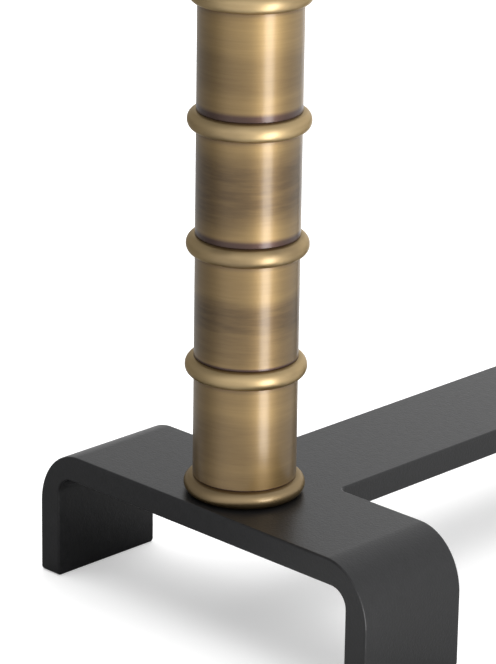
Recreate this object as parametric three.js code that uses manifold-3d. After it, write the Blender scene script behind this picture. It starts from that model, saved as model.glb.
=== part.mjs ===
// An andiron: a black T-shaped base of bent flat bar, with a brass column like a bamboo cane clamped on it.
// Millimetres, +Z up. The column stands at the front (-Y), and the log bar runs back from it.
import * as THREE from 'three';
import { mergeVertices } from 'three/addons/utils/BufferGeometryUtils.js';
import Module from 'manifold-3d';

const wasm = await Module();
wasm.setup();

// Base: the cross bridge with its two legs, and the log bar with the third leg
const overallDepth = 465;
const bridgeWidth = 168.5;
const bridgeDepth = 50;
const logBarWidth = 48;
const barThickness = 10;
const baseHeight = 51;
const bendOuterAlong = 19.75;
const bendOuterDown = 22.75;
const bendInnerRadius = 7;
const footCornerRadius = 1.5;

// Welds that hold the log bar to the bridge
const cornerWeldSize = 3;
const underWeldWidth = 8;
const underWeldHeight = 1.5;
const underWeldInset = 2;

// Column: tube sections between half-round rings
const columnInset = 24.5;
const sectionCount = 7;
const sectionLength = 39.5;
const tubeDiameter = 38;
const tubeWall = 1.5;
const ringHeight = 6.5;
const spigotLength = 5;
const spigotWall = 2.5;
const ringWebThickness = 4;

// Cap on top of the column
const capHeight = 5.5;
const capRimHeight = 1.5;
const capBossDiameter = 18;
const capBossLength = 12;
const capCrownThickness = 3.5;

// Tie rod and what clamps it under the bridge
const rodDiameter = 8;
const rodStickOut = 2;
const rodEndChamfer = 0.8;
const flatWasherDiameter = 24;
const flatWasherThickness = 2;
const springWasherDiameter = 14.8;
const springWasherThickness = 2;
const springWasherSplit = 1.5;
const nutAcrossFlats = 13;
const nutHeight = 4;

// Clearances
const rodClearance = 0.5;
const threadClearance = 0.3;
const spigotClearance = 0.3;
const bossClearance = 0.3;
const threadBottomGap = 1;

// Fineness of the round surfaces
const sidesAround = 36;
const bendSteps = 12;
const footSteps = 5;
const cornerWeldSteps = 4;
const beadSteps = 6;
const domeSteps = 5;

// Places worked out from the sizes above
const frontY = -overallDepth / 2;
const rearY = overallDepth / 2;
const bridgeMiddleY = frontY + bridgeDepth / 2;
const jointY = frontY + bridgeDepth;
const columnY = frontY + columnInset;
const barUnderZ = baseHeight - barThickness;
const tubeRadius = tubeDiameter / 2;
const boreRadius = tubeRadius - tubeWall;
const rodRadius = rodDiameter / 2;
const beadRadius = ringHeight / 2;
const sectionPitch = sectionLength + ringHeight;
const firstSectionZ = baseHeight + ringHeight;
const topRingZ = baseHeight + sectionCount * sectionPitch;
const capZ = topRingZ + ringHeight;
const washerZ = barUnderZ - flatWasherThickness;
const springWasherZ = washerZ - springWasherThickness;
const nutZ = springWasherZ - nutHeight;
const rodBottomZ = nutZ - rodStickOut;
const capHoleTop = capHeight - capCrownThickness;
const rodTopZ = capZ + capHoleTop - threadBottomGap;

const finishes = {
  powderCoat: new THREE.MeshStandardMaterial({ color: 0x3a3a3c, roughness: 0.55, metalness: 0.1 }),
  brass: new THREE.MeshStandardMaterial({ color: 0x95805a, roughness: 0.38, metalness: 1 }),
  zinc: new THREE.MeshStandardMaterial({ color: 0x9da1a4, roughness: 0.4, metalness: 1 }),
};

const andiron = new THREE.Group();

function addPiece(name, geometry, finish, place = [0, 0, 0]) {
  const piece = new THREE.Mesh(geometry, finish);
  piece.name = name;
  piece.position.set(...place);
  andiron.add(piece);
}

// Boolean helpers: a geometry becomes a solid, and a solid a geometry
function toSolid(geometry) {
  const bare = geometry.clone();
  bare.deleteAttribute('normal');
  bare.deleteAttribute('uv');
  const merged = mergeVertices(bare, 1e-5);
  return new wasm.Manifold(new wasm.Mesh({
    numProp: 3,
    vertProperties: new Float32Array(merged.attributes.position.array),
    triVerts: new Uint32Array(merged.index.array),
  }));
}

function toGeometry(solid) {
  const mesh = solid.getMesh();
  const geometry = new THREE.BufferGeometry();
  geometry.setAttribute('position', new THREE.BufferAttribute(new Float32Array(mesh.vertProperties), 3));
  geometry.setIndex(new THREE.BufferAttribute(new Uint32Array(mesh.triVerts), 1));
  geometry.computeVertexNormals();
  return geometry;
}

// An outline drawn in the plane of two axes, and drawn out along the third, centred on it
function extrudeAlong(axis, outline, length) {
  const geometry = new THREE.ExtrudeGeometry(outline, {
    depth: length,
    bevelEnabled: false,
  });
  geometry.translate(0, 0, -length / 2);
  const x = new THREE.Vector3(1, 0, 0);
  const y = new THREE.Vector3(0, 1, 0);
  const z = new THREE.Vector3(0, 0, 1);
  if (axis === 'x') geometry.applyMatrix4(new THREE.Matrix4().makeBasis(y, z, x));
  if (axis === 'y') geometry.applyMatrix4(new THREE.Matrix4().makeBasis(x, z, y.negate()));
  return geometry;
}

// A closed profile of [radius, height] points, turned about the column's axis
function turn(points) {
  const profile = points.map(([radius, height]) => new THREE.Vector2(radius, height));
  const geometry = new THREE.LatheGeometry([...profile, profile[0]], sidesAround);
  geometry.rotateX(Math.PI / 2);
  return geometry;
}

// Points of an arc, from one angle to another, both ends included
function arcPoints(centre, radii, fromAngle, toAngle, steps) {
  const points = [];
  for (let i = 0; i <= steps; i += 1) {
    const angle = fromAngle + ((toAngle - fromAngle) * i) / steps;
    points.push([centre[0] + radii[0] * Math.cos(angle), centre[1] + radii[1] * Math.sin(angle)]);
  }
  return points;
}

function shapeOf(points) {
  return new THREE.Shape(points.map(([x, y]) => new THREE.Vector2(x, y)));
}

// The end of a bar with the two corners of its foot rounded, standing on z = 0
function footOutline(width) {
  const half = width / 2;
  const r = footCornerRadius;
  const radii = [r, r];
  return shapeOf([
    [-half, baseHeight * 2],
    ...arcPoints([-half + r, r], radii, Math.PI, 1.5 * Math.PI, footSteps),
    ...arcPoints([half - r, r], radii, 1.5 * Math.PI, 2 * Math.PI, footSteps),
    [half, baseHeight * 2],
  ]);
}

// The outer and the inner side of the bend where a bar turns down into a leg, whose outer face is at end;
// the outer side is walked clockwise, and the inner side back the other way
function outerBend(end) {
  const side = Math.sign(end);
  const centre = [end - side * bendOuterAlong, baseHeight - bendOuterDown];
  const from = side > 0 ? Math.PI / 2 : Math.PI;
  return arcPoints(centre, [bendOuterAlong, bendOuterDown], from, from - Math.PI / 2, bendSteps);
}

function innerBend(end) {
  const side = Math.sign(end);
  const centre = [end - side * (barThickness + bendInnerRadius), barUnderZ - bendInnerRadius];
  const from = side > 0 ? 0 : Math.PI / 2;
  return arcPoints(centre, [bendInnerRadius, bendInnerRadius], from, from + Math.PI / 2, bendSteps);
}

// A leg reaches below the floor here, and its foot outline trims it
const untrimmedZ = -footCornerRadius;

function frontBridge() {
  const half = bridgeWidth / 2;
  const inside = half - barThickness;
  const outline = shapeOf([
    [-half, untrimmedZ],
    ...outerBend(-half),
    ...outerBend(half),
    [half, untrimmedZ],
    [inside, untrimmedZ],
    ...innerBend(half),
    ...innerBend(-half),
    [-inside, untrimmedZ],
  ]);
  const bent = extrudeAlong('y', outline, bridgeDepth * 2).translate(0, bridgeMiddleY, 0);
  const foot = extrudeAlong('x', footOutline(bridgeDepth), bridgeWidth * 2).translate(0, bridgeMiddleY, 0);
  const holeRadius = rodRadius + rodClearance;
  const drill = new THREE.CylinderGeometry(holeRadius, holeRadius, baseHeight * 3, sidesAround);
  drill.rotateX(Math.PI / 2).translate(0, columnY, 0);
  return toGeometry(toSolid(bent).intersect(toSolid(foot)).subtract(toSolid(drill)));
}

function logBar() {
  const outline = shapeOf([
    [jointY, barUnderZ],
    [jointY, baseHeight],
    ...outerBend(rearY),
    [rearY, untrimmedZ],
    [rearY - barThickness, untrimmedZ],
    ...innerBend(rearY),
  ]);
  const bent = extrudeAlong('x', outline, logBarWidth * 2);
  const foot = extrudeAlong('y', footOutline(logBarWidth), overallDepth * 2);
  return toGeometry(toSolid(bent).intersect(toSolid(foot)));
}

// A hollow fillet in the corner of the T, as thick as the bars; side is -1 or 1
function cornerWeld(side) {
  const size = cornerWeldSize;
  const hollow = arcPoints([size, size], [size, size], 1.5 * Math.PI, Math.PI, cornerWeldSteps);
  const outline = [[0, 0], ...hollow].map(([x, y]) => [side * x, y]);
  return extrudeAlong('z', shapeOf(outline), barThickness);
}

// A low bead across the joint, under the bars
function underWeld() {
  const half = underWeldWidth / 2;
  const radius = (half * half + underWeldHeight * underWeldHeight) / (2 * underWeldHeight);
  const reach = Math.asin(half / radius);
  const down = 1.5 * Math.PI;
  const centre = [0, radius - underWeldHeight];
  const outline = arcPoints(centre, [radius, radius], down - reach, down + reach, beadSteps);
  return extrudeAlong('x', shapeOf(outline), logBarWidth - 2 * underWeldInset);
}

function tubeSection() {
  return turn([
    [boreRadius, 0],
    [tubeRadius, 0],
    [tubeRadius, sectionLength],
    [boreRadius, sectionLength],
  ]);
}

// The half-round bead, from its lower to its upper edge, with the ring standing on z = 0
function bead() {
  const centre = [tubeRadius, beadRadius];
  return arcPoints(centre, [beadRadius, beadRadius], -Math.PI / 2, Math.PI / 2, beadSteps);
}

// The spigot that enters the tube above (up = 1) or below (up = -1), walked from its outside to its inside
function spigot(up) {
  const outer = boreRadius - spigotClearance;
  const inner = outer - spigotWall;
  const shoulder = up > 0 ? ringHeight : 0;
  const web = beadRadius + (up * ringWebThickness) / 2;
  return [
    [outer, shoulder],
    [outer, shoulder + up * spigotLength],
    [inner, shoulder + up * spigotLength],
    [inner, web],
  ];
}

function baseRing() {
  const hole = rodRadius + rodClearance;
  return turn([[hole, 0], ...bead(), ...spigot(1), [hole, beadRadius + ringWebThickness / 2]]);
}

function nodeRing() {
  const hole = rodRadius + rodClearance;
  const lower = spigot(-1).reverse();
  return turn([
    [hole, beadRadius - ringWebThickness / 2],
    ...lower,
    ...bead(),
    ...spigot(1),
    [hole, beadRadius + ringWebThickness / 2],
  ]);
}

function topRing() {
  const hole = capBossDiameter / 2 + bossClearance;
  const lower = spigot(-1).reverse();
  return turn([[hole, beadRadius - ringWebThickness / 2], ...lower, ...bead(), [hole, ringHeight]]);
}

// The cap: a rim, a low dome above it, and a boss below it with a blind hole for the rod
function cap() {
  const hole = rodRadius + threadClearance;
  const domeRadii = [tubeRadius, capHeight - capRimHeight];
  const dome = arcPoints([0, capRimHeight], domeRadii, 0, Math.PI / 2, domeSteps);
  return turn([
    [0, capHoleTop],
    [hole, capHoleTop],
    [hole, -capBossLength],
    [capBossDiameter / 2, -capBossLength],
    [capBossDiameter / 2, 0],
    [tubeRadius, 0],
    ...dome.slice(0, -1),
    [0, capHeight],
  ]);
}

function tieRod() {
  const length = rodTopZ - rodBottomZ;
  const tip = rodRadius - rodEndChamfer;
  return turn([
    [0, 0],
    [tip, 0],
    [rodRadius, rodEndChamfer],
    [rodRadius, length - rodEndChamfer],
    [tip, length],
    [0, length],
  ]);
}

function flatWasher() {
  const hole = rodRadius + rodClearance;
  const outer = flatWasherDiameter / 2;
  return turn([[hole, 0], [outer, 0], [outer, flatWasherThickness], [hole, flatWasherThickness]]);
}

// A ring with a narrow split at the front
function springWasher() {
  const outer = springWasherDiameter / 2;
  const inner = rodRadius + threadClearance;
  const gap = springWasherSplit / 2;
  const start = -Math.PI / 2 + Math.asin(gap / inner);
  const end = 1.5 * Math.PI - Math.asin(gap / inner);
  const outerArc = arcPoints([0, 0], [outer, outer], start, end, sidesAround);
  const innerArc = arcPoints([0, 0], [inner, inner], end, start, sidesAround);
  return extrudeAlong('z', shapeOf([...outerArc, ...innerArc]), springWasherThickness);
}

function clampNut() {
  const cornerRadius = nutAcrossFlats / 2 / Math.cos(Math.PI / 6);
  const hole = rodRadius + threadClearance;
  const corners = arcPoints([0, 0], [cornerRadius, cornerRadius], 0, 2 * Math.PI, 6);
  const outline = shapeOf(corners.slice(0, -1));
  outline.holes.push(shapeOf(arcPoints([0, 0], [hole, hole], 0, 2 * Math.PI, sidesAround).slice(0, -1)));
  return extrudeAlong('z', outline, nutHeight);
}

// Base
const barMiddleZ = baseHeight - barThickness / 2;
addPiece('front_bridge', frontBridge(), finishes.powderCoat);
addPiece('log_bar', logBar(), finishes.powderCoat);
addPiece('weld_left', cornerWeld(-1), finishes.powderCoat, [-logBarWidth / 2, jointY, barMiddleZ]);
addPiece('weld_right', cornerWeld(1), finishes.powderCoat, [logBarWidth / 2, jointY, barMiddleZ]);
addPiece('weld_under', underWeld(), finishes.powderCoat, [0, jointY, barUnderZ]);

// Column
addPiece('base_ring', baseRing(), finishes.brass, [0, columnY, baseHeight]);
for (let i = 0; i < sectionCount; i += 1) {
  const z = firstSectionZ + i * sectionPitch;
  addPiece(`tube_${i + 1}`, tubeSection(), finishes.brass, [0, columnY, z]);
  if (i < sectionCount - 1) {
    addPiece(`node_ring_${i + 1}`, nodeRing(), finishes.brass, [0, columnY, z + sectionLength]);
  }
}
addPiece('top_ring', topRing(), finishes.brass, [0, columnY, topRingZ]);
addPiece('cap', cap(), finishes.brass, [0, columnY, capZ]);

// Clamp
const springWasherMiddleZ = springWasherZ + springWasherThickness / 2;
addPiece('tie_rod', tieRod(), finishes.zinc, [0, columnY, rodBottomZ]);
addPiece('flat_washer', flatWasher(), finishes.zinc, [0, columnY, washerZ]);
addPiece('spring_washer', springWasher(), finishes.zinc, [0, columnY, springWasherMiddleZ]);
addPiece('clamp_nut', clampNut(), finishes.zinc, [0, columnY, nutZ + nutHeight / 2]);

export default andiron;
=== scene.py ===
import math

import bmesh
import bpy
from mathutils import Matrix, Vector


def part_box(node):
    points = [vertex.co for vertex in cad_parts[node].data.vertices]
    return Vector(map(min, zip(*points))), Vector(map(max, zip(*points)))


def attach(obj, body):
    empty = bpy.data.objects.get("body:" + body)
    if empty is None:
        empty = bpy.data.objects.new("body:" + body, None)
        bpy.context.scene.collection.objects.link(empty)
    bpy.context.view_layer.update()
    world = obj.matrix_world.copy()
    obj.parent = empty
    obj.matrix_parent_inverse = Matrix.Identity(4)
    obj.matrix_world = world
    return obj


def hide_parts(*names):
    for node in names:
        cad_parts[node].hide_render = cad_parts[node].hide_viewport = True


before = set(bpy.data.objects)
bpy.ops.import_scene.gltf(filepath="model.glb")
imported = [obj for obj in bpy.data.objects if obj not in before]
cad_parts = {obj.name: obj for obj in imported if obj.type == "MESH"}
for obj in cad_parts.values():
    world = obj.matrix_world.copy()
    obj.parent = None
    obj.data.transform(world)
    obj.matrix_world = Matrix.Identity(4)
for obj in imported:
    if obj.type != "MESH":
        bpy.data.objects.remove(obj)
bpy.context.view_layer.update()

mm = 0.001
print("frame loaded,", len(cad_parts), "CAD nodes")


# Small helpers: colours, nodes, paths and pieces

def linear(hexColour):  # sRGB hex to the linear colour that a socket takes
    channels = [int(hexColour[i:i + 2], 16) / 255 for i in (1, 3, 5)]
    return tuple(c / 12.92 if c <= 0.04045 else ((c + 0.055) / 1.055) ** 2.4 for c in channels) + (1.0,)


def addNode(tree, kind, inputs=None, **settings):  # inputs maps a socket to its value or to what feeds it
    node = tree.nodes.new(kind)
    for name, value in settings.items():
        setattr(node, name, value)
    for socket, value in (inputs or {}).items():
        if isinstance(value, bpy.types.NodeSocket):
            tree.links.new(value, node.inputs[socket])
        else:
            node.inputs[socket].default_value = value
    return node


def newMaterial(name):
    material = bpy.data.materials.new(name)
    material.use_nodes = True
    material.node_tree.nodes.clear()
    return material, material.node_tree


def arc(centre, radii, fromDeg, toDeg, steps):  # points of a round stretch, both ends included
    angles = [math.radians(fromDeg + (toDeg - fromDeg) * i / steps) for i in range(steps + 1)]
    return [(centre[0] + radii[0] * math.cos(a), centre[1] + radii[1] * math.sin(a)) for a in angles]


def boxMm(node):  # lowest and highest corner of a CAD node, in millimetres
    low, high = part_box(node)
    return Vector(low) / mm, Vector(high) / mm


def addPiece(name, bm, material, replaced, sharpDeg=50):  # takes a mesh in millimetres
    bmesh.ops.remove_doubles(bm, verts=bm.verts, dist=1e-4)
    bmesh.ops.recalc_face_normals(bm, faces=bm.faces)
    bmesh.ops.scale(bm, vec=(mm, mm, mm), verts=bm.verts)
    mesh = bpy.data.meshes.new(name)
    bm.to_mesh(mesh)
    bm.free()
    mesh.materials.append(material)
    mesh.shade_smooth()
    mesh.set_sharp_from_angle(angle=math.radians(sharpDeg))
    piece = bpy.data.objects.new(name, mesh)
    bpy.context.scene.collection.objects.link(piece)
    weighted = piece.modifiers.new("flatFacesStayFlat", "WEIGHTED_NORMAL")
    weighted.keep_sharp = True
    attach(piece, "root")
    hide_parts(*replaced)


# Where things are, read from the frame

bridgeLow, bridgeHigh = boxMm("front_bridge")
logLow, logHigh = boxMm("log_bar")
tubeCount = sum(name.startswith("tube_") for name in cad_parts)
tubeBoxes = [boxMm(f"tube_{i + 1}") for i in range(tubeCount)]
firstTubeLow, firstTubeHigh = tubeBoxes[0]
columnX = (firstTubeLow.x + firstTubeHigh.x) / 2
columnY = (firstTubeLow.y + firstTubeHigh.y) / 2
tubeRadius = (firstTubeHigh.x - firstTubeLow.x) / 2
baseTop = bridgeHigh.z
sectionPitch = tubeBoxes[1][0].z - firstTubeLow.z
ringHeight = firstTubeLow.z - baseTop
tubeLength = sectionPitch - ringHeight


# Camera: the photograph's viewing angle

camera = {
    "azimuthDeg": 44.497,
    "elevationDeg": 19.431,
    "rollDeg": 0.863,
    "distance": 1256.3,
    "aim": (-13.0, -193.95, 105.3),   # what is in the middle of the photograph
    "lens": 185.67,
    "sensor": 36.0,
}


def makeCamera():
    azimuth = math.radians(camera["azimuthDeg"])
    elevation = math.radians(camera["elevationDeg"])
    roll = math.radians(camera["rollDeg"])
    back = Vector((
        math.sin(azimuth) * math.cos(elevation),
        -math.cos(azimuth) * math.cos(elevation),
        math.sin(elevation),
    ))
    level = Vector((math.cos(azimuth), math.sin(azimuth), 0))
    plumb = back.cross(level)
    right = level * math.cos(roll) + plumb * math.sin(roll)
    up = plumb * math.cos(roll) - level * math.sin(roll)
    data = bpy.data.cameras.new("camera")
    data.lens = camera["lens"]
    data.sensor_width = camera["sensor"]
    data.clip_start = 0.05
    data.clip_end = 50
    seen = bpy.data.objects.new("camera", data)
    place = (Vector(camera["aim"]) + back * camera["distance"]) * mm
    seen.matrix_world = Matrix((right, up, back)).transposed().to_4x4()
    seen.location = place
    bpy.context.scene.collection.objects.link(seen)
    bpy.context.scene.camera = seen


makeCamera()
print("camera placed")


# Black base: mild steel flat bar, hot bent, welded, dressed and powder coated

powder = {
    "colour": "#0f1011",
    "mottleColour": "#1b1b1d",
    "ior": 1.4,
    "roughness": (0.31, 0.37),
    "mottleMm": 3.0,
    "grainMm": 0.9,   # real grain is about 0.3 mm, which is finer than the render shows
    "grainDepthMm": 0.065,
}


def makePowderCoat():  # fine-textured polyester powder coat: satin black with a soft sheen at low angles
    material, tree = newMaterial("powderCoatedSteel")
    place = addNode(tree, "ShaderNodeNewGeometry").outputs["Position"]
    mottle = addNode(tree, "ShaderNodeTexNoise", {
        "Vector": place, "Scale": 1000 / powder["mottleMm"], "Detail": 4, "Roughness": 0.6,
    })
    colour = addNode(tree, "ShaderNodeMix", {
        0: mottle.outputs["Fac"], 6: linear(powder["colour"]), 7: linear(powder["mottleColour"]),
    }, data_type="RGBA")
    rough = addNode(tree, "ShaderNodeMapRange", {
        "Value": mottle.outputs["Fac"], "From Min": 0.3, "From Max": 0.7,
        "To Min": powder["roughness"][0], "To Max": powder["roughness"][1],
    })
    grain = addNode(tree, "ShaderNodeTexNoise", {
        "Vector": place, "Scale": 1000 / powder["grainMm"], "Detail": 3, "Roughness": 0.55,
    })
    bump = addNode(tree, "ShaderNodeBump", {
        "Height": grain.outputs["Fac"], "Strength": 1.0, "Distance": powder["grainDepthMm"] * mm,
    })
    coat = addNode(tree, "ShaderNodeBsdfPrincipled", {
        "Base Color": colour.outputs[2],
        "Roughness": rough.outputs["Result"],
        "IOR": powder["ior"],
        "Normal": bump.outputs["Normal"],
    })
    addNode(tree, "ShaderNodeOutputMaterial", {"Surface": coat.outputs["BSDF"]})
    return material


powderCoat = makePowderCoat()

weldLow, weldHigh = boxMm("weld_left")

base = {
    "thickness": weldHigh.z - weldLow.z,
    "bendAlong": 19.75,      # the outer side of a bend starts this far before the leg's outer face
    "bendDown": 22.75,
    "bendInnerRadius": 7.0,
    "cornerFillet": 3.0,
    "footCorner": 1.5,
    "edgeRounding": 0.8,
    "edgeSteps": 4,
    "cornerSteps": 6,
    "filletSteps": 8,
    "bendSteps": 400,
    "bendCuts": 24,
    "tightestCorner": 0.3,   # keeps the inset of a sharp corner from running away
    "rodHole": 9.0,
    "holeSides": 48,
}


def quarterBend():  # the outer side of a bend, from level to plumb, and how far along it each point is
    fine = arc((0, 0), (base["bendAlong"], base["bendDown"]), 90, 0, base["bendSteps"])
    walked = [0.0]
    for a, b in zip(fine, fine[1:]):
        walked.append(walked[-1] + math.dist(a, b))
    return fine, walked


bendPoints, bendWalked = quarterBend()
bendLength = bendWalked[-1]


def outerSide(share):  # how far along and down the outer side is, at a share of the bend
    target = share * bendLength
    i = next(k for k in range(1, len(bendWalked)) if bendWalked[k] >= target - 1e-9)
    step = (target - bendWalked[i - 1]) / (bendWalked[i] - bendWalked[i - 1])
    (x0, y0), (x1, y1) = bendPoints[i - 1], bendPoints[i]
    return x0 + (x1 - x0) * step, y0 + (y1 - y0) * step - base["bendDown"]


def innerSide(share):  # the same for the inner side: level, a round stretch, then plumb
    radius = base["bendInnerRadius"]
    level = base["bendAlong"] - base["thickness"] - radius
    plumb = base["bendDown"] - base["thickness"] - radius
    way = share * (level + radius * math.pi / 2 + plumb)
    if way <= level:
        return way, -base["thickness"]
    if way <= level + radius * math.pi / 2:
        turn = (way - level) / radius
        return level + radius * math.sin(turn), -base["thickness"] - radius * (1 - math.cos(turn))
    return level + radius, -base["bendDown"] + plumb - (way - level - radius * math.pi / 2)


def bendDownward(flat, depth, end):  # where a point of the flat blank is once the bar's end is bent down
    start = end - base["bendAlong"]
    if flat <= start:
        return flat, baseTop - depth
    share = min((flat - start) / bendLength, 1)
    outer, inner = outerSide(share), innerSide(share)
    part = depth / base["thickness"]
    along = outer[0] + (inner[0] - outer[0]) * part
    height = outer[1] + (inner[1] - outer[1]) * part
    return start + along, baseTop + height - max(flat - start - bendLength, 0)


def flatLength(end):  # how long the blank is before it is bent, from the middle to the foot
    return end - base["bendAlong"] + bendLength + baseTop - base["bendDown"]


def blankOutline():  # the T before bending, anticlockwise from the front left foot
    half, front, joint = flatLength(bridgeHigh.x), bridgeLow.y, bridgeHigh.y
    bar, rear = logHigh.x, flatLength(logHigh.y)
    c, f = base["footCorner"], base["cornerFillet"]
    steps, wide = base["cornerSteps"], base["filletSteps"]
    return [
        *arc((-half + c, front + c), (c, c), 180, 270, steps),
        *arc((half - c, front + c), (c, c), 270, 360, steps),
        *arc((half - c, joint - c), (c, c), 0, 90, steps),
        *arc((bar + f, joint + f), (f, f), 270, 180, wide),
        *arc((bar - c, rear - c), (c, c), 0, 90, steps),
        *arc((-bar + c, rear - c), (c, c), 90, 180, steps),
        *arc((-bar - f, joint + f), (f, f), 0, -90, wide),
        *arc((-half + c, joint - c), (c, c), 90, 180, steps),
    ]


def inset(outline, amount):  # the outline moved inward, each corner along its own bisector
    moved = []
    for i, here in enumerate(outline):
        before, after = outline[i - 1], outline[(i + 1) % len(outline)]
        a = Vector((here[0] - before[0], here[1] - before[1])).normalized()
        b = Vector((after[0] - here[0], after[1] - here[1])).normalized()
        inward = Vector((-a.y - b.y, a.x + b.x)).normalized()
        reach = amount / max(inward.dot(Vector((-a.y, a.x))), base["tightestCorner"])
        moved.append((here[0] + inward.x * reach, here[1] + inward.y * reach))
    return moved


def ringOf(bm, points, depth):
    return [bm.verts.new((x, y, -depth)) for x, y in points]


def joinRings(bm, first, second):
    count = len(first)
    for i in range(count):
        j = (i + 1) % count
        bm.faces.new((first[i], first[j], second[j], second[i]))


def edgesAround(bm, ring):  # the edges that join each corner of a ring to the next
    return [bm.edges.get((ring[i], ring[(i + 1) % len(ring)])) for i in range(len(ring))]


def makeBase():
    bm = bmesh.new()
    outline = blankOutline()
    rounding, thickness, steps = base["edgeRounding"], base["thickness"], base["edgeSteps"]
    turns = [math.pi / 2 * i / steps for i in range(steps + 1)]
    sections = [(rounding * (1 - math.sin(t)), rounding * (1 - math.cos(t))) for t in turns]
    sections += [(back, thickness - depth) for back, depth in reversed(sections)]
    rings = [ringOf(bm, inset(outline, back), depth) for back, depth in sections]
    for upper, lower in zip(rings, rings[1:]):
        joinRings(bm, upper, lower)
    holeRadius = base["rodHole"] / 2
    hole = arc((columnX, columnY), (holeRadius, holeRadius), 0, 360, base["holeSides"])[:-1]
    holeTop, holeUnder = ringOf(bm, hole, 0), ringOf(bm, hole, thickness)
    joinRings(bm, holeUnder, holeTop)
    for rim, bore in ((rings[0], holeTop), (rings[-1], holeUnder)):
        around = edgesAround(bm, rim) + edgesAround(bm, bore)
        bmesh.ops.triangle_fill(bm, edges=around, use_beauty=True)
    cuts = range(base["bendCuts"] + 1)
    for axis, end in ((0, bridgeHigh.x), (0, bridgeLow.x), (1, logHigh.y)):
        side = math.copysign(1, end)
        for i in cuts:
            place = Vector((0, 0, 0))
            place[axis] = side * (abs(end) - base["bendAlong"] + bendLength * i / base["bendCuts"])
            across = Vector((0, 0, 0))
            across[axis] = 1
            everything = bm.verts[:] + bm.edges[:] + bm.faces[:]
            bmesh.ops.bisect_plane(bm, geom=everything, dist=1e-5, plane_co=place, plane_no=across)
    for corner in bm.verts:
        x, y, depth = corner.co.x, corner.co.y, -corner.co.z
        along, height = bendDownward(abs(x), depth, bridgeHigh.x)
        if abs(x) <= logHigh.x:
            along = abs(x)
            y, height = bendDownward(y, depth, logHigh.y)
        corner.co = (math.copysign(along, x), y, height)
    whole = ("front_bridge", "log_bar", "weld_left", "weld_right")
    addPiece("blackBase", bm, powderCoat, whole, sharpDeg=60)


makeBase()

underBead = {
    "length": 44.0,
    "width": 8.0,
    "height": 1.5,
    "ripplePitch": 2.4,
    "rippleDepth": 0.35,
    "rippleLag": 0.8,
    "endSquareness": 8,
    "stepsAlong": 150,
    "stepsAcross": 12,
}


def makeUnderBead():  # weld bead across the joint, below, with the ripples that a welder leaves
    bm = bmesh.new()
    half, width = underBead["length"] / 2, underBead["width"] / 2
    rows = []
    for i in range(underBead["stepsAlong"] + 1):
        x = -half + underBead["length"] * i / underBead["stepsAlong"]
        ripple = abs(math.sin(math.pi * x / underBead["ripplePitch"]))
        taper = math.sqrt(max(1 - (abs(x) / half) ** underBead["endSquareness"], 0))
        deep = (underBead["height"] - underBead["rippleDepth"] * (1 - ripple)) * taper
        row = []
        for k in range(underBead["stepsAcross"] + 1):
            t = math.pi * k / underBead["stepsAcross"]
            lag = underBead["rippleLag"] * math.sin(t) * taper
            across, down = width * math.cos(t), deep * math.sin(t)
            row.append(bm.verts.new((x + lag, bridgeHigh.y - across, weldLow.z - down)))
        rows.append(row)
    for a, b in zip(rows, rows[1:]):
        for k in range(len(a) - 1):
            bm.faces.new((a[k], a[k + 1], b[k + 1], b[k]))
        bm.faces.new((a[-1], a[0], b[0], b[-1]))
    bm.faces.new(rows[0])
    bm.faces.new(rows[-1])
    addPiece("underWeldBead", bm, powderCoat, ("weld_under",), sharpDeg=70)


makeUnderBead()
print("black base made")


# Brass column: turned half-round rings between brushed tube sections

aged = {
    "tubeColour": "#806840",
    "tubeLight": "#957d52",
    "ringColour": "#9e8963",
    "smearColour": "#513e24",
    # the stains' colour, also used for the painted shade under each ring
    "stainAndShadeColour": "#463028",
    # the ring patina's colour, also used for the painted shade on the lowest ring
    "ringPatinaAndShadeColour": "#55442e",
    "tubeRoughness": 0.55,
    "tubeGrain": 0.35,       # how much the brushing draws a highlight out along the tube
    "grainTurn": 0.25,
    "ringRoughness": 0.44,
    "ringEdgeTint": "#c8b48c",
    "lacquerIor": 1.5,
    "lacquerRoughness": 0.24,
    "tubeLacquer": 0.7,
    "ringLacquer": 0.5,
    "brushMm": 0.8,          # a fine abrasive leaves lines of about 0.1 mm, drawn coarser so that they show
    "brushDepthMm": 0.012,
    "brushStretch": (0.03, 0.03, 1.0),   # draws the pattern out level, around the column
    "cloudMm": 14.0,
    "cloudStretch": (0.12, 0.12, 1.0),
    "cloudRange": (0.35, 0.8),
    "ringCloudStretch": (0.5, 0.5, 1.0),
    "ringCloudRange": (0.5, 0.8),
    "cloudPatina": 0.5,
    "streakMm": 1.6,
    "streakRange": (0.82, 1.12),
    "waverMm": 34.0,
    "waverDepthMm": 4.0,
    "smearCore": 0.3,        # the part of a smear's half width that has its full tone
    "stainCore": 0.45,       # the same, for the height of a stain at a tube's foot
    "footStains": (0.5, 1.2, 3.4, 3.8, 1.6, 3.2, 2.2),   # how high each section is stained, from the lowest
    # painted shade: each tube is darkened just under the ring above it
    "shadeUnderRing": 0.6,
    "shadeUnderRingMm": (0.1, 2.6),            # how far below a tube's top this starts to fade, and ends
    "lipPatina": 0.4,
    "lipMm": (-0.5, 0.1),                # how far above a ring's foot this starts to fade, and ends
    "baseRingShade": 0.55,      # painted shade: the lowest ring is darkened
    "baseRingShadeFade": 2.0,
}

# Brown smears that are left where the patina was rubbed back less: height, half width and strength
smears = [
    (60.0, 10.0, 0.45),
    (74.0, 15.0, 0.5),
    (112.0, 13.0, 0.6),
    (122.0, 11.0, 0.85),
    (138.0, 9.0, 0.25),
    (171.0, 20.0, 0.85),
    (213.0, 12.0, 0.5),
    (262.0, 15.0, 0.75),
    (305.0, 12.0, 0.5),
    (318.0, 8.0, 0.3),
    (352.0, 14.0, 0.7),
]


def sectionHeight(tree, height):  # how far a point is above the foot of its own tube section
    raised = addNode(tree, "ShaderNodeMath", {
        0: height, 1: firstTubeLow.z * mm,
    }, operation="SUBTRACT").outputs[0]
    return addNode(tree, "ShaderNodeMath", {
        0: raised, 1: sectionPitch * mm,
    }, operation="FLOORED_MODULO").outputs[0]


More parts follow.
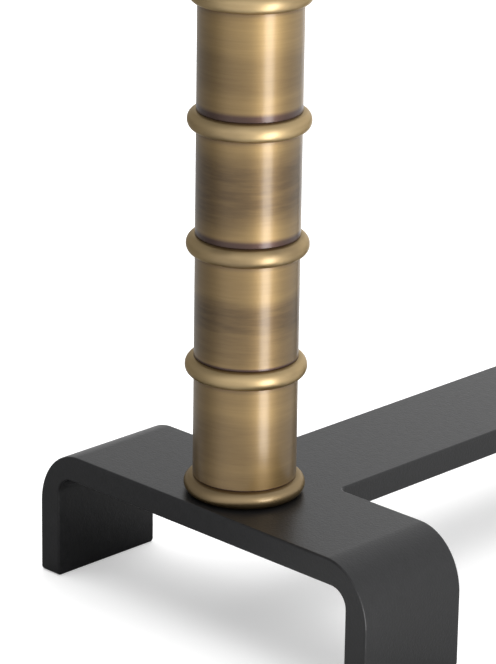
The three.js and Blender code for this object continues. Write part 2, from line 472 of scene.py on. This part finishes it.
def perSection(tree, height, values):  # one value in millimetres for each tube section, from the lowest up
    top = tubeBoxes[-1][1].z
    share = addNode(tree, "ShaderNodeMapRange", {
        "Value": height, "From Min": baseTop * mm, "From Max": top * mm,
    }).outputs["Result"]
    steps = addNode(tree, "ShaderNodeValToRGB", {"Fac": share})
    ramp = steps.color_ramp
    ramp.interpolation = "CONSTANT"
    most = max(values)
    for i, value in enumerate(values):
        position = (tubeBoxes[i][0].z - firstTubeLow.z) / (top - baseTop)
        stop = ramp.elements[0] if i == 0 else ramp.elements.new(position)
        stop.position = position
        stop.color = (value / most, value / most, value / most, 1)
    ramp.elements.remove(ramp.elements[-1])
    return addNode(tree, "ShaderNodeMath", {
        0: steps.outputs["Color"], 1: most * mm,
    }, operation="MULTIPLY").outputs[0]


def band(tree, value, fromMm, toMm):  # 1 at one end of a stretch and 0 at the other, smoothly
    return addNode(tree, "ShaderNodeMapRange", {
        "Value": value, "From Min": fromMm * mm, "From Max": toMm * mm, "To Min": 1.0, "To Max": 0.0,
    }, interpolation_type="SMOOTHSTEP").outputs["Result"]


# Antique brass, brushed around and lacquered: a soft glow, one bright upright line, brown smears, and
# painted shade under each ring
def makeTubeBrass():
    material, tree = newMaterial("antiqueBrassBrushed")
    place = addNode(tree, "ShaderNodeNewGeometry").outputs["Position"]
    height = addNode(tree, "ShaderNodeSeparateXYZ", {"Vector": place}).outputs["Z"]
    local = sectionHeight(tree, height)
    around = addNode(tree, "ShaderNodeMapping", {
        "Vector": place, "Scale": aged["cloudStretch"],
    }).outputs["Vector"]
    cloud = addNode(tree, "ShaderNodeTexNoise", {
        "Vector": around, "Scale": 1000 / aged["cloudMm"], "Detail": 4, "Roughness": 0.6,
    }).outputs["Fac"]
    drawnOut = addNode(tree, "ShaderNodeMapping", {
        "Vector": place, "Scale": aged["brushStretch"],
    }).outputs["Vector"]
    brush = addNode(tree, "ShaderNodeTexNoise", {
        "Vector": drawnOut, "Scale": 1000 / aged["brushMm"], "Detail": 3, "Roughness": 0.7,
    }).outputs["Fac"]

    # Thin clouds of patina, and over them the smears, which waver and are streaked by the brushing
    patina = addNode(tree, "ShaderNodeMapRange", {
        "Value": cloud, "From Min": aged["cloudRange"][0], "From Max": aged["cloudRange"][1],
        "To Min": 0.0, "To Max": aged["cloudPatina"],
    }).outputs["Result"]
    drift = addNode(tree, "ShaderNodeTexNoise", {
        "Vector": place, "Scale": 1000 / aged["waverMm"], "Detail": 2,
    }).outputs["Fac"]
    waver = addNode(tree, "ShaderNodeMapRange", {
        "Value": drift, "From Min": 0.2, "From Max": 0.8,
        "To Min": -aged["waverDepthMm"] * mm, "To Max": aged["waverDepthMm"] * mm,
    }).outputs["Result"]
    wavy = addNode(tree, "ShaderNodeMath", {0: height, 1: waver}, operation="ADD").outputs[0]
    streak = addNode(tree, "ShaderNodeTexNoise", {
        "Vector": around, "Scale": 1000 / aged["streakMm"], "Detail": 3, "Roughness": 0.6,
    }).outputs["Fac"]
    streak = addNode(tree, "ShaderNodeMapRange", {
        "Value": streak, "From Min": 0.3, "From Max": 0.7,
        "To Min": aged["streakRange"][0], "To Max": aged["streakRange"][1],
    }).outputs["Result"]
    for middle, half, strength in smears:
        off = addNode(tree, "ShaderNodeMath", {0: wavy, 1: middle * mm}, operation="SUBTRACT").outputs[0]
        off = addNode(tree, "ShaderNodeMath", {0: off}, operation="ABSOLUTE").outputs[0]
        smear = band(tree, off, half * aged["smearCore"], half)
        smear = addNode(tree, "ShaderNodeMath", {0: smear, 1: strength}, operation="MULTIPLY").outputs[0]
        smear = addNode(tree, "ShaderNodeMath", {0: smear, 1: streak}, operation="MULTIPLY").outputs[0]
        patina = addNode(tree, "ShaderNodeMath", {0: patina, 1: smear}, operation="MAXIMUM").outputs[0]

    # Dark stains at the foot of each section, and painted shade at its top, under the ring
    stained = perSection(tree, height, aged["footStains"])
    lower = addNode(tree, "ShaderNodeMath", {0: local, 1: stained}, operation="DIVIDE").outputs[0]
    lower = addNode(tree, "ShaderNodeMapRange", {
        "Value": lower, "From Min": aged["stainCore"], "From Max": 1.0, "To Min": 1.0, "To Max": 0.0,
    }, interpolation_type="SMOOTHSTEP").outputs["Result"]
    # painted shade just under the ring above
    upper = band(tree, local, tubeLength - aged["shadeUnderRingMm"][0], tubeLength - aged["shadeUnderRingMm"][1])
    upper = addNode(tree, "ShaderNodeMath", {
        0: upper, 1: aged["shadeUnderRing"],
    }, operation="MULTIPLY").outputs[0]
    ends = addNode(tree, "ShaderNodeMath", {0: lower, 1: upper}, operation="MAXIMUM").outputs[0]

    clean = addNode(tree, "ShaderNodeMix", {
        0: brush, 6: linear(aged["tubeColour"]), 7: linear(aged["tubeLight"]),
    }, data_type="RGBA").outputs[2]
    rubbed = addNode(tree, "ShaderNodeMix", {
        0: patina, 6: clean, 7: linear(aged["smearColour"]),
    }, data_type="RGBA").outputs[2]
    colour = addNode(tree, "ShaderNodeMix", {
        0: ends, 6: rubbed, 7: linear(aged["stainAndShadeColour"]),
    }, data_type="RGBA").outputs[2]
    bump = addNode(tree, "ShaderNodeBump", {
        "Height": brush, "Strength": 1.0, "Distance": aged["brushDepthMm"] * mm,
    })
    metal = addNode(tree, "ShaderNodeBsdfPrincipled", {
        "Base Color": colour,
        "Metallic": 1.0,
        "Roughness": aged["tubeRoughness"],
        "Anisotropic": aged["tubeGrain"],
        "Anisotropic Rotation": aged["grainTurn"],
        "Coat Weight": aged["tubeLacquer"],
        "Coat Roughness": aged["lacquerRoughness"],
        "Coat IOR": aged["lacquerIor"],
        "Normal": bump.outputs["Normal"],
    })
    addNode(tree, "ShaderNodeOutputMaterial", {"Surface": metal.outputs["BSDF"]})
    return material


# Antique brass, turned and polished, under the same lacquer: a smoother gleam, with brown left in the joints
# and painted shade on the lowest ring
def makeRingBrass():
    material, tree = newMaterial("antiqueBrassTurned")
    place = addNode(tree, "ShaderNodeNewGeometry").outputs["Position"]
    height = addNode(tree, "ShaderNodeSeparateXYZ", {"Vector": place}).outputs["Z"]
    local = sectionHeight(tree, height)
    around = addNode(tree, "ShaderNodeMapping", {
        "Vector": place, "Scale": aged["ringCloudStretch"],
    }).outputs["Vector"]
    cloud = addNode(tree, "ShaderNodeTexNoise", {
        "Vector": around, "Scale": 1000 / aged["cloudMm"], "Detail": 3, "Roughness": 0.5,
    }).outputs["Fac"]
    lip = band(tree, local, tubeLength + aged["lipMm"][0], tubeLength + aged["lipMm"][1])
    lip = addNode(tree, "ShaderNodeMath", {0: lip, 1: aged["lipPatina"]}, operation="MULTIPLY").outputs[0]
    # painted shade: the lowest ring is darkened, fading out above its top
    lowest = band(tree, height, firstTubeLow.z, firstTubeLow.z + aged["baseRingShadeFade"])
    lowest = addNode(tree, "ShaderNodeMath", {
        0: lowest, 1: aged["baseRingShade"],
    }, operation="MULTIPLY").outputs[0]
    # the joints' patina, together with the painted shade on the lowest ring
    joint = addNode(tree, "ShaderNodeMath", {0: lip, 1: lowest}, operation="MAXIMUM").outputs[0]
    worn = addNode(tree, "ShaderNodeMapRange", {
        "Value": cloud, "From Min": aged["ringCloudRange"][0], "From Max": aged["ringCloudRange"][1],
        "To Min": 0.0, "To Max": aged["cloudPatina"],
    }, interpolation_type="SMOOTHSTEP").outputs["Result"]
    patina = addNode(tree, "ShaderNodeMath", {0: joint, 1: worn}, operation="MAXIMUM").outputs[0]
    colour = addNode(tree, "ShaderNodeMix", {
        0: patina, 6: linear(aged["ringColour"]), 7: linear(aged["ringPatinaAndShadeColour"]),
    }, data_type="RGBA").outputs[2]
    metal = addNode(tree, "ShaderNodeBsdfPrincipled", {
        "Base Color": colour,
        "Metallic": 1.0,
        "Roughness": aged["ringRoughness"],
        "Specular Tint": linear(aged["ringEdgeTint"]),
        "Coat Weight": aged["ringLacquer"],
        "Coat Roughness": aged["lacquerRoughness"],
        "Coat IOR": aged["lacquerIor"],
    })
    addNode(tree, "ShaderNodeOutputMaterial", {"Surface": metal.outputs["BSDF"]})
    return material


tubeBrass = makeTubeBrass()
ringBrass = makeRingBrass()


def aboutColumn(radius, angle, height):  # a point given by its radius and angle about the column's axis
    return columnX + radius * math.cos(angle), columnY + radius * math.sin(angle), height


def circleOf(bm, radius, height, sides):
    return [bm.verts.new(aboutColumn(radius, 2 * math.pi * i / sides, height)) for i in range(sides)]


def turned(profile, sides, bottom):  # a closed profile of radius and height, turned about the column's axis
    bm = bmesh.new()
    rows = [circleOf(bm, radius, bottom + height, sides) for radius, height in profile]
    for k, row in enumerate(rows):
        following = (k + 1) % len(rows)
        if profile[k][0] > 0 or profile[following][0] > 0:
            joinRings(bm, row, rows[following])
    return bm


column = {
    "sides": 192,
    "tubeWall": 1.5,
    "tubeEdge": 0.2,
    "tubeEdgeSteps": 4,
    "beadSteps": 20,
    "collarHeight": 0.3,    # a narrow flat turned at each side of the bead
    "collarOut": 0.2,
    "lap": 0.6,             # the bead's lower lip hides the end of the tube below it
    "lapRoom": 0.02,
    "spigotLength": 5.0,
    "spigotGap": 0.3,
    "spigotWall": 2.5,
    "webThickness": 4.0,
    "rodHole": 9.0,
    "bossHole": 18.6,
}


def makeTubes():
    outer, inner, edge = tubeRadius, tubeRadius - column["tubeWall"], column["tubeEdge"]
    steps = column["tubeEdgeSteps"]
    for i, (low, high) in enumerate(tubeBoxes):
        length = high.z - low.z
        profile = [
            (inner, 0),
            *arc((outer - edge, edge), (edge, edge), -90, 0, steps),
            *arc((outer - edge, length - edge), (edge, edge), 0, 90, steps),
            (inner, length),
        ]
        bm = turned(profile, column["sides"], low.z)
        addPiece(f"brassTube{i + 1}", bm, tubeBrass, (f"tube_{i + 1}",))


def beadProfile(lap=0.0):  # lip over the tube below, collar, half-round bead, collar, from below up
    out, seat = tubeRadius + column["collarOut"], tubeRadius + column["lapRoom"]
    half = (ringHeight + lap) / 2
    reach = math.degrees(math.asin(1 - column["collarHeight"] / half))
    lip = [(seat, 0), (seat, -lap)] if lap else []
    return [
        *lip,
        (out, -lap),
        *arc((tubeRadius, half - lap), (ringHeight / 2, half), -reach, reach, column["beadSteps"]),
        (out, ringHeight),
    ]


def spigotProfile(up):  # the sleeve inside the tube above (up = 1) or below (up = -1), outside to inside
    outer = tubeRadius - column["tubeWall"] - column["spigotGap"]
    inner = outer - column["spigotWall"]
    shoulder = ringHeight if up > 0 else 0
    web = ringHeight / 2 + up * column["webThickness"] / 2
    tip = shoulder + up * column["spigotLength"]
    return [(outer, shoulder), (outer, tip), (inner, tip), (inner, web)]


def makeRings():
    half = column["webThickness"] / 2
    hole, middle = column["rodHole"] / 2, ringHeight / 2
    lower = list(reversed(spigotProfile(-1)))
    first = [(hole, 0), *beadProfile(), *spigotProfile(1), (hole, middle + half)]
    addPiece("baseRing", turned(first, column["sides"], baseTop), ringBrass, ("base_ring",))
    between = [
        (hole, middle - half),
        *lower,
        *beadProfile(column["lap"]),
        *spigotProfile(1),
        (hole, middle + half),
    ]
    for i in range(1, tubeCount):
        bm = turned(between, column["sides"], tubeBoxes[i - 1][1].z)
        addPiece(f"nodeRing{i}", bm, ringBrass, (f"node_ring_{i}",))
    bossHole = column["bossHole"] / 2
    last = [(bossHole, middle - half), *lower, *beadProfile(column["lap"]), (bossHole, ringHeight)]
    bm = turned(last, column["sides"], tubeBoxes[-1][1].z)
    addPiece("topRing", bm, ringBrass, ("top_ring",))


makeTubes()
makeRings()

domedCap = {
    "rim": 1.5,
    "rimRounding": 0.5,
    "rimSteps": 5,
    "domeSteps": 24,
    "boss": 18.0,
    "bossLength": 12.0,
    "crown": 3.5,
    "rodHole": 8.6,
}


def makeCap():
    low, high = boxMm("cap")
    top = high.z - low.z - domedCap["bossLength"]
    rim, edge = domedCap["rim"], domedCap["rimRounding"]
    boss, hole = domedCap["boss"] / 2, domedCap["rodHole"] / 2
    blind = top - domedCap["crown"]
    profile = [
        (0, blind),
        (hole, blind),
        (hole, -domedCap["bossLength"]),
        (boss, -domedCap["bossLength"]),
        (boss, 0),
        *arc((tubeRadius - edge, edge), (edge, edge), -90, 0, domedCap["rimSteps"]),
        *arc((0, rim), (tubeRadius, top - rim), 0, 90, domedCap["domeSteps"])[:-1],
        (0, top),
    ]
    bm = turned(profile, column["sides"], low.z + domedCap["bossLength"])
    addPiece("domedCap", bm, ringBrass, ("cap",))


makeCap()
print("brass column made,", tubeCount, "sections")


# Clamp under the bridge: zinc-plated rod, washers and nut

plated = {
    "colour": "#b4b6b8",
    "tint": "#a9adae",
    "roughness": (0.26, 0.4),
    "hazeMm": 4.0,
}


def makeZinc():  # bright zinc plating: a bluish grey metal with a faint cloudy haze
    material, tree = newMaterial("brightZincPlate")
    place = addNode(tree, "ShaderNodeNewGeometry").outputs["Position"]
    haze = addNode(tree, "ShaderNodeTexNoise", {
        "Vector": place, "Scale": 1000 / plated["hazeMm"], "Detail": 3,
    }).outputs["Fac"]
    colour = addNode(tree, "ShaderNodeMix", {
        0: haze, 6: linear(plated["colour"]), 7: linear(plated["tint"]),
    }, data_type="RGBA")
    rough = addNode(tree, "ShaderNodeMapRange", {
        "Value": haze, "To Min": plated["roughness"][0], "To Max": plated["roughness"][1],
    })
    metal = addNode(tree, "ShaderNodeBsdfPrincipled", {
        "Base Color": colour.outputs[2], "Metallic": 1.0, "Roughness": rough.outputs["Result"],
    })
    addNode(tree, "ShaderNodeOutputMaterial", {"Surface": metal.outputs["BSDF"]})
    return material


zincPlate = makeZinc()

clamp = {
    "pitch": 1.25,
    "threadDepth": 0.77,
    "threadSharpness": 1.2,
    "rodChamfer": 0.8,
    "threadLength": 15.0,
    "stepsPerTurn": 48,
    "stepsPerPitch": 8,
    "holeRoom": 0.5,
    "threadRoom": 0.3,
    "washerSides": 96,
    "washerEdge": 0.3,
    "washerEdgeSteps": 4,
    "springEdge": 0.25,
    "springEdgeSteps": 3,
    "springSplitDeg": 14.0,
    "springSteps": 80,
    "nutCountersink": 0.5,
    "nutSides": 96,
    "nutFaceStep": 0.3,      # how far the round end face stays inside the flats
    "nutLevels": (0, 0.1, 0.2, 0.3, 0.45, 0.6, 0.8, 1.0),
}
rodLow, rodHigh = boxMm("tie_rod")
rodRadius = (rodHigh.x - rodLow.x) / 2


def makeRod():  # threaded where it shows, plain inside the column
    sides, pitch, threaded = clamp["stepsPerTurn"], clamp["pitch"], clamp["threadLength"]
    chamfer = clamp["rodChamfer"]
    rowCount = int(threaded / pitch * clamp["stepsPerPitch"])
    bm = bmesh.new()
    rows = []
    for k in range(rowCount + 1):
        height = threaded * k / rowCount
        limit = rodRadius - max(chamfer - height, 0)
        fade = min((threaded - height) / pitch, 1)
        row = []
        for i in range(sides):
            turnPart = (height / pitch - i / sides) % 1
            groove = clamp["threadDepth"] * (1 - abs(2 * turnPart - 1)) ** clamp["threadSharpness"]
            r = min(rodRadius - groove * fade, limit)
            row.append(bm.verts.new(aboutColumn(r, 2 * math.pi * i / sides, rodLow.z + height)))
        rows.append(row)
    rows.append(circleOf(bm, rodRadius, rodHigh.z - chamfer, sides))
    rows.append(circleOf(bm, rodRadius - chamfer, rodHigh.z, sides))
    for a, b in zip(rows, rows[1:]):
        joinRings(bm, a, b)
    bm.faces.new(rows[0])
    bm.faces.new(rows[-1])
    addPiece("tieRod", bm, zincPlate, ("tie_rod",), sharpDeg=40)


def makeFlatWasher():
    low, high = boxMm("flat_washer")
    outer, hole, thick = (high.x - low.x) / 2, rodRadius + clamp["holeRoom"], high.z - low.z
    edge, steps = clamp["washerEdge"], clamp["washerEdgeSteps"]
    profile = [
        (hole, 0),
        *arc((outer - edge, edge), (edge, edge), -90, 0, steps),
        *arc((outer - edge, thick - edge), (edge, edge), 0, 90, steps),
        (hole, thick),
    ]
    bm = turned(profile, clamp["washerSides"], low.z)
    addPiece("flatWasher", bm, zincPlate, ("flat_washer",))


def makeSpringWasher():  # a split ring of square wire, with the cut ends a little askew
    low, high = boxMm("spring_washer")
    inner, outer, thick = rodRadius + clamp["threadRoom"], (high.x - low.x) / 2, high.z - low.z
    edge, steps, split = clamp["springEdge"], clamp["springEdgeSteps"], clamp["springSplitDeg"]
    section = [
        *arc((inner + edge, edge), (edge, edge), 180, 270, steps),
        *arc((outer - edge, edge), (edge, edge), 270, 360, steps),
        *arc((outer - edge, thick - edge), (edge, edge), 0, 90, steps),
        *arc((inner + edge, thick - edge), (edge, edge), 90, 180, steps),
    ]
    bm = bmesh.new()
    rows = []
    for k in range(clamp["springSteps"] + 1):
        share = k / clamp["springSteps"]
        row = []
        for r, z in section:
            slant = split * (z / thick - 0.5) * (1 - 2 * min(share, 1 - share))
            deg = -90 + split / 2 + share * (360 - split) + slant
            row.append(bm.verts.new(aboutColumn(r, math.radians(deg), low.z + z)))
        rows.append(row)
    for a, b in zip(rows, rows[1:]):
        joinRings(bm, a, b)
    bm.faces.new(rows[0])
    bm.faces.new(rows[-1])
    addPiece("springWasher", bm, zincPlate, ("spring_washer",))


def makeNut():  # a hexagon whose corners are cut off by a cone at both ends
    low, high = boxMm("clamp_nut")
    flats, bore, height = (high.y - low.y) / 2, rodRadius + clamp["threadRoom"], high.z - low.z
    corner = flats / math.cos(math.pi / 6)
    sides, sink = clamp["nutSides"], clamp["nutCountersink"]
    levels = [*clamp["nutLevels"], *(height - level for level in reversed(clamp["nutLevels"]))]
    bm = bmesh.new()
    rows = []
    for level in levels:
        cone = flats - clamp["nutFaceStep"] + min(level, height - level) * math.sqrt(3)
        row = []
        for i in range(sides):
            angle = 2 * math.pi * i / sides
            r = min(flats / math.cos((angle % (math.pi / 3)) - math.pi / 6), cone, corner)
            row.append(bm.verts.new(aboutColumn(r, angle, low.z + level)))
        rows.append(row)
    for r, level in ((bore + sink, height), (bore, height - sink), (bore, sink), (bore + sink, 0)):
        rows.append(circleOf(bm, r, low.z + level, sides))
    for a, b in zip(rows, rows[1:] + rows[:1]):
        joinRings(bm, a, b)
    addPiece("clampNut", bm, zincPlate, ("clamp_nut",), sharpDeg=25)


makeRod()
makeFlatWasher()
makeSpringWasher()
makeNut()
print("clamp made")


# Studio: pale floor, plain soft lamps, and a white background

studio = {
    "floorSize": 12.0,
    "floorColour": "#e6e6e6",
    "glow": (0.36, 0.6),             # to the camera, near the column and far from it
    "glowRadius": (0.3, 1.2),
    "mirroredFloor": "#dcdcdc",
    "mirroredGlow": (0.06, 0.42),    # in reflections, where the andiron shades the floor and further out
    "shadeReach": (0.08, 0.22),
    "ambient": 0.5,
    "backdrop": 1.6,
}

# Sides of the room without lamps: a direction, the cosines where dimming starts and is full, and its level
dimSides = [
    {"deg": -75.0, "rise": 25.0, "start": 0.2, "full": 0.8, "level": 0.34},
    {"deg": 135.0, "rise": 0.0, "start": 0.0, "full": 0.75, "level": 0.85},
    {"deg": 0.0, "rise": 90.0, "start": 0.35, "full": 0.9, "level": 0.75},
]

softboxes = {
    "topSoftbox": {
        "place": (-0.1, 0.1, 1.3),
        "aimHeight": 0.051,
        "size": (2.2, 2.2),
        "power": 30.0,
        "mirrored": False,
    },
    "sideSoftbox": {
        "place": (1.2, -0.26, 0.4),
        "aimHeight": 0.15,
        "size": (0.42, 1.0),
        "power": 3.0,
        "mirrored": True,
    },
}

lightStrip = {
    "deg": 84.5,
    "halfDeg": 10.0,
    "near": 0.16,
    "far": 1.1,
    "height": 0.002,
    "upTo": 0.3,
    "strength": 10.8,
}


def heading(deg, rise=0.0):  # a direction: 0 is the front, 90 is +X, and rise is how far it points up
    turn, lift = math.radians(deg), math.radians(rise)
    return math.sin(turn) * math.cos(lift), -math.cos(turn) * math.cos(lift), math.sin(lift)


def sideLevel(tree, direction):  # how bright the room is in each direction, with its dim sides
    level = 1.0
    for side in dimSides:
        towards = addNode(tree, "ShaderNodeVectorMath", {
            0: direction, 1: heading(side["deg"], side["rise"]),
        }, operation="DOT_PRODUCT").outputs["Value"]
        dimmed = addNode(tree, "ShaderNodeMapRange", {
            "Value": towards, "From Min": side["start"], "From Max": side["full"],
            "To Min": 1.0, "To Max": side["level"],
        }, interpolation_type="SMOOTHSTEP").outputs["Result"]
        level = addNode(tree, "ShaderNodeMath", {0: level, 1: dimmed}, operation="MULTIPLY").outputs[0]
    return level


def makeFloor():  # matt white paper that runs out into the white background
    material, tree = newMaterial("paleFloor")
    place = addNode(tree, "ShaderNodeNewGeometry").outputs["Position"]
    flat = addNode(tree, "ShaderNodeVectorMath", {
        0: place, 1: (1, 1, 0),
    }, operation="MULTIPLY").outputs[0]
    centred = addNode(tree, "ShaderNodeVectorMath", {
        0: flat, 1: (columnX * mm, columnY * mm, 0),
    }, operation="SUBTRACT").outputs[0]
    direction = addNode(tree, "ShaderNodeVectorMath", {0: centred}, operation="NORMALIZE").outputs[0]
    level = sideLevel(tree, direction)
    ray = addNode(tree, "ShaderNodeLightPath")
    seen = addNode(tree, "ShaderNodeMath", {
        0: ray.outputs["Is Glossy Ray"], 1: ray.outputs["Is Transmission Ray"],
    }, operation="MAXIMUM").outputs[0]

    # To the camera the floor glows more with its distance from the column
    away = addNode(tree, "ShaderNodeVectorMath", {0: centred}, operation="LENGTH").outputs["Value"]
    glow = addNode(tree, "ShaderNodeMapRange", {
        "Value": away, "From Min": studio["glowRadius"][0], "From Max": studio["glowRadius"][1],
        "To Min": studio["glow"][0], "To Max": studio["glow"][1],
    }, interpolation_type="SMOOTHSTEP").outputs["Result"]

    # In reflections it is darker beside the column and behind it, where the andiron shades it
    apart = addNode(tree, "ShaderNodeSeparateXYZ", {"Vector": centred})
    sideways = addNode(tree, "ShaderNodeMath", {0: apart.outputs["X"]}, operation="ABSOLUTE").outputs[0]
    forward = addNode(tree, "ShaderNodeMath", {
        0: 0.0, 1: apart.outputs["Y"],
    }, operation="SUBTRACT").outputs[0]
    clear = addNode(tree, "ShaderNodeMath", {0: sideways, 1: forward}, operation="MAXIMUM").outputs[0]
    mirrored = addNode(tree, "ShaderNodeMapRange", {
        "Value": clear, "From Min": studio["shadeReach"][0], "From Max": studio["shadeReach"][1],
        "To Min": studio["mirroredGlow"][0], "To Max": studio["mirroredGlow"][1],
    }, interpolation_type="SMOOTHSTEP").outputs["Result"]
    mirrored = addNode(tree, "ShaderNodeMath", {0: level, 1: mirrored}, operation="MULTIPLY").outputs[0]

    glow = addNode(tree, "ShaderNodeMix", {0: seen, 2: glow, 3: mirrored}, data_type="FLOAT").outputs[0]
    lit = addNode(tree, "ShaderNodeMath", {
        0: ray.outputs["Is Camera Ray"], 1: seen,
    }, operation="MAXIMUM").outputs[0]
    strength = addNode(tree, "ShaderNodeMath", {0: glow, 1: lit}, operation="MULTIPLY").outputs[0]
    dim = addNode(tree, "ShaderNodeMix", {
        0: level, 6: (0, 0, 0, 1), 7: linear(studio["mirroredFloor"]),
    }, data_type="RGBA").outputs[2]
    colour = addNode(tree, "ShaderNodeMix", {
        0: seen, 6: linear(studio["floorColour"]), 7: dim,
    }, data_type="RGBA").outputs[2]
    matt = addNode(tree, "ShaderNodeBsdfDiffuse", {"Color": colour})
    shine = addNode(tree, "ShaderNodeEmission", {"Color": (1, 1, 1, 1), "Strength": strength})
    both = addNode(tree, "ShaderNodeAddShader", {0: matt.outputs[0], 1: shine.outputs[0]})
    addNode(tree, "ShaderNodeOutputMaterial", {"Surface": both.outputs[0]})
    half = studio["floorSize"] / 2
    corners = [(-half, -half, 0), (half, -half, 0), (half, half, 0), (-half, half, 0)]
    mesh = bpy.data.meshes.new("floor")
    mesh.from_pydata(corners, [], [(0, 1, 2, 3)])
    mesh.materials.append(material)
    floor = bpy.data.objects.new("floor", mesh)
    bpy.context.scene.collection.objects.link(floor)


def makeWorld():  # white to the camera, an even light on surfaces, and in reflections a room with dim sides
    world = bpy.data.worlds.new("studio")
    world.use_nodes = True
    tree = world.node_tree
    tree.nodes.clear()
    direction = addNode(tree, "ShaderNodeTexCoord").outputs["Generated"]
    ray = addNode(tree, "ShaderNodeLightPath")
    seen = addNode(tree, "ShaderNodeMath", {
        0: ray.outputs["Is Glossy Ray"], 1: ray.outputs["Is Transmission Ray"],
    }, operation="MAXIMUM").outputs[0]
    mirrored = addNode(tree, "ShaderNodeMath", {
        0: sideLevel(tree, direction), 1: studio["backdrop"],
    }, operation="MULTIPLY").outputs[0]
    strength = addNode(tree, "ShaderNodeMix", {
        0: seen, 2: studio["ambient"], 3: mirrored,
    }, data_type="FLOAT").outputs[0]
    strength = addNode(tree, "ShaderNodeMix", {
        0: ray.outputs["Is Camera Ray"], 2: strength, 3: 1.0,
    }, data_type="FLOAT").outputs[0]
    sky = addNode(tree, "ShaderNodeBackground", {"Color": (1, 1, 1, 1), "Strength": strength})
    addNode(tree, "ShaderNodeOutputWorld", {"Surface": sky.outputs[0]})
    bpy.context.scene.world = world


def makeSoftbox(name):  # a lamp that looks at the column's axis
    lamp = softboxes[name]
    data = bpy.data.lights.new(name, "AREA")
    data.shape = "RECTANGLE"
    data.size, data.size_y = lamp["size"]
    data.energy = lamp["power"]
    box = bpy.data.objects.new(name, data)
    box.location = lamp["place"]
    box.rotation_mode = "QUATERNION"
    aim = Vector((columnX * mm, columnY * mm, lamp["aimHeight"]))
    box.rotation_quaternion = (aim - box.location).to_track_quat("-Z", "Y")
    box.visible_camera = False
    box.visible_glossy = lamp["mirrored"]
    bpy.context.scene.collection.objects.link(box)


def makeStrip():  # a strip of light along the floor and up at its far end, seen in reflections only
    strip = lightStrip
    material, tree = newMaterial("stripLight")
    shine = addNode(tree, "ShaderNodeEmission", {"Strength": strip["strength"]})
    addNode(tree, "ShaderNodeOutputMaterial", {"Surface": shine.outputs[0]})
    ends = [
        (strip["near"], strip["height"]),
        (strip["far"], strip["height"]),
        (strip["far"], strip["upTo"]),
    ]
    corners = []
    for radius, height in ends:
        for side in (-1, 1):
            way = heading(strip["deg"] + side * strip["halfDeg"])
            corners.append((columnX * mm + way[0] * radius, columnY * mm + way[1] * radius, height))
    mesh = bpy.data.meshes.new("lightStrip")
    mesh.from_pydata(corners, [], [(0, 1, 3, 2), (2, 3, 5, 4)])
    mesh.materials.append(material)
    lying = bpy.data.objects.new("lightStrip", mesh)
    bpy.context.scene.collection.objects.link(lying)
    lying.visible_camera = False
    lying.visible_diffuse = False
    lying.visible_shadow = False
    lying.visible_transmission = False


makeFloor()
makeWorld()
makeStrip()
for name in softboxes:
    makeSoftbox(name)
bpy.context.scene.view_settings.view_transform = "Standard"
print("studio ready")
